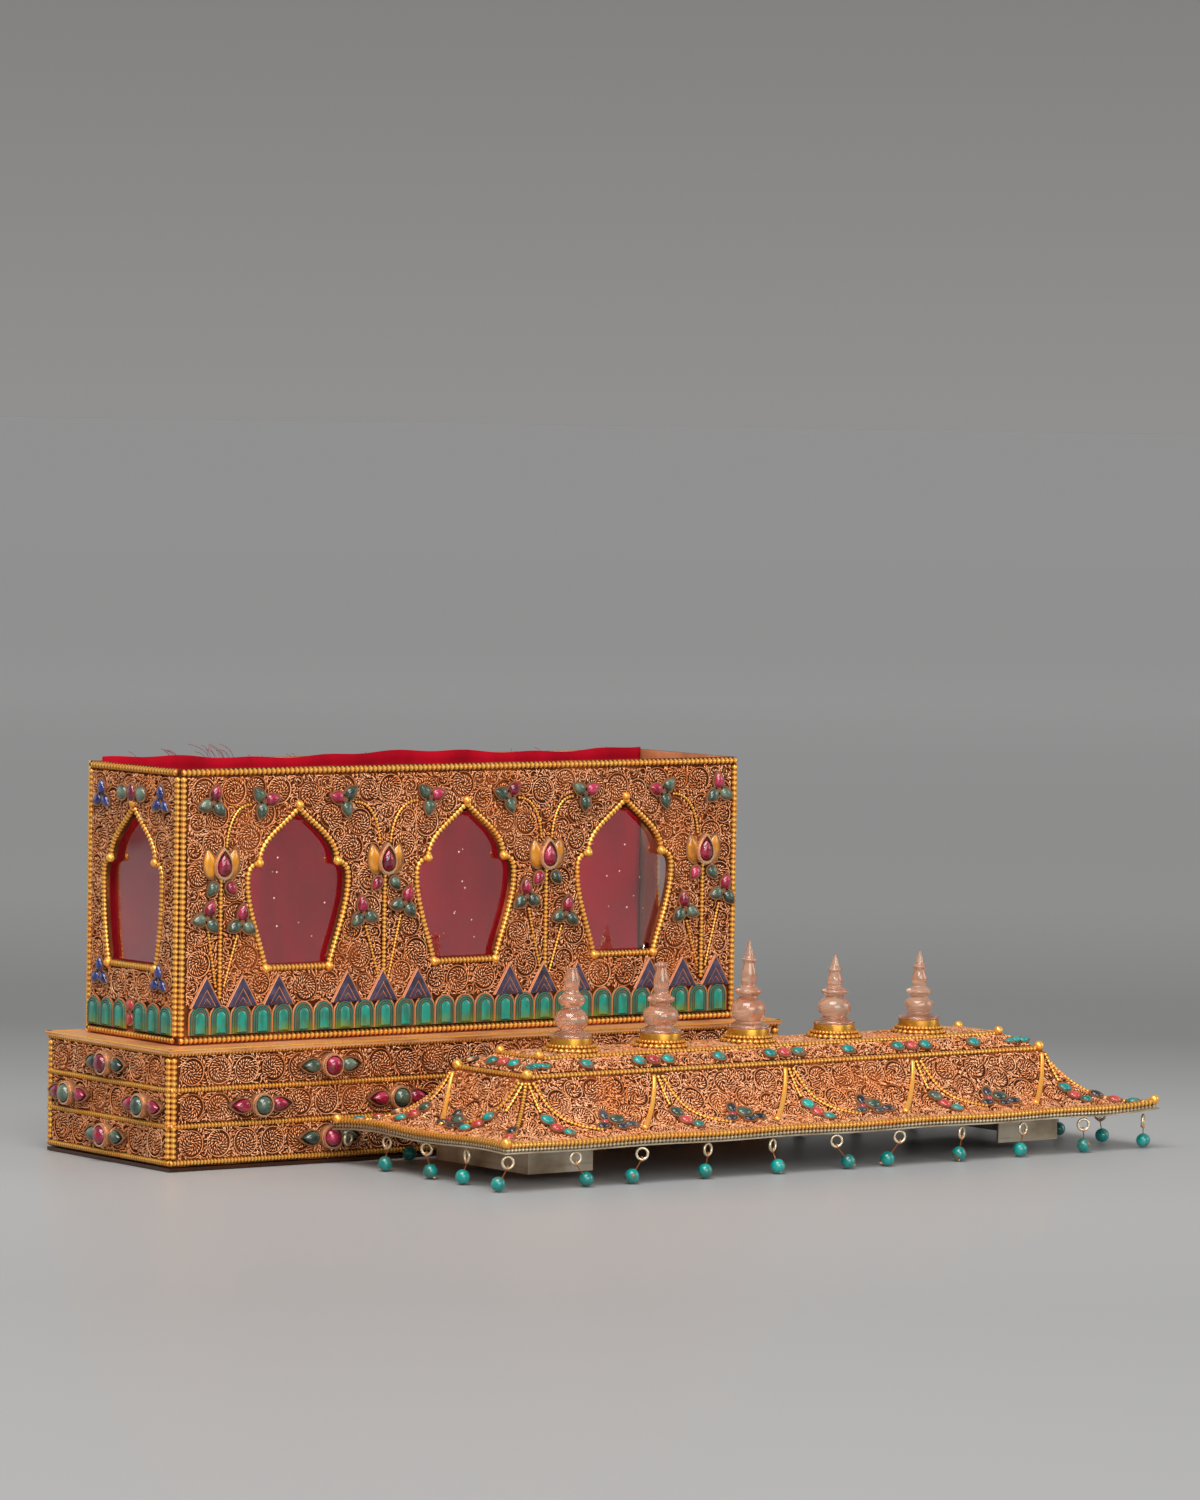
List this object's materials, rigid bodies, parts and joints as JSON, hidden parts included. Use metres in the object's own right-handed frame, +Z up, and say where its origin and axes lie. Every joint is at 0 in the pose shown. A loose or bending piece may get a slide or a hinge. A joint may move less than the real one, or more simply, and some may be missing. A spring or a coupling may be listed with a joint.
{
  "type": "buddhist altar box",
  "caption": "Oblong windowed altar box of copper filigree on a plinth, set with stones, its roof-shaped lid with crystal stupas lifted off and lying in front.",
  "frame": {"origin": "middle of the plinth's underside", "axes": "+X along the box to the right, -Y towards the front, +Z up"},
  "size_m": [0.3523, 0.1857, 0.1358],
  "materials": {
    "copper_filigree": "coiled copper wire on sheet, rubbed bright, red-orange pigment in the recesses",
    "copper_sheet": "plain copper sheet, brown patina",
    "gilded_wire": "fire-gilt beaded wire and collars, worn on the crests",
    "tinned_sheet": "dull tinned brass sheet, scratched",
    "clear_pane": "clear glossy sheet",
    "rock_crystal": "polished rock crystal with pink inclusions",
    "red_velvet": "red pile velvet",
    "set_stones": "polished opaque stones: turquoise, coral, ruby, lapis and green"
  },
  "bodies": {
    "root": {"plinth_shell": "copper_filigree", "plinth_bottom": "copper_sheet", "wall_front": "copper_filigree", "wall_back": "copper_filigree", "wall_left": "copper_filigree", "wall_right": "copper_filigree", "pane_front": "clear_pane", "pane_back": "clear_pane", "pane_left": "clear_pane", "pane_right": "clear_pane", "velvet_lining": "red_velvet", "lid_roof": "copper_filigree", "lid_tab_left": "tinned_sheet", "lid_tab_right": "tinned_sheet", "stupa_collar_1": "gilded_wire", "stupa_collar_2": "gilded_wire", "stupa_collar_3": "gilded_wire", "stupa_collar_4": "gilded_wire", "stupa_collar_5": "gilded_wire", "crystal_stupa_1": "rock_crystal", "crystal_stupa_2": "rock_crystal", "crystal_stupa_3": "rock_crystal", "crystal_stupa_4": "rock_crystal", "crystal_stupa_5": "rock_crystal", "bead_drop_01": "set_stones", "bead_drop_02": "set_stones", "bead_drop_03": "set_stones", "bead_drop_04": "set_stones", "bead_drop_05": "set_stones", "bead_drop_06": "set_stones", "bead_drop_07": "set_stones", "bead_drop_08": "set_stones", "bead_drop_09": "set_stones", "bead_drop_10": "set_stones", "bead_drop_11": "set_stones", "bead_drop_12": "set_stones", "bead_drop_13": "set_stones", "bead_drop_14": "set_stones", "bead_drop_15": "set_stones", "bead_drop_16": "set_stones", "bead_drop_17": "set_stones", "bead_drop_18": "set_stones", "bead_drop_19": "set_stones", "bead_drop_20": "set_stones", "bead_drop_21": "set_stones", "bead_drop_22": "set_stones", "bead_drop_23": "set_stones", "bead_drop_24": "set_stones", "bead_drop_25": "set_stones", "bead_drop_26": "set_stones", "bead_drop_27": "set_stones", "bead_drop_28": "set_stones"}
  },
  "joints": []
}
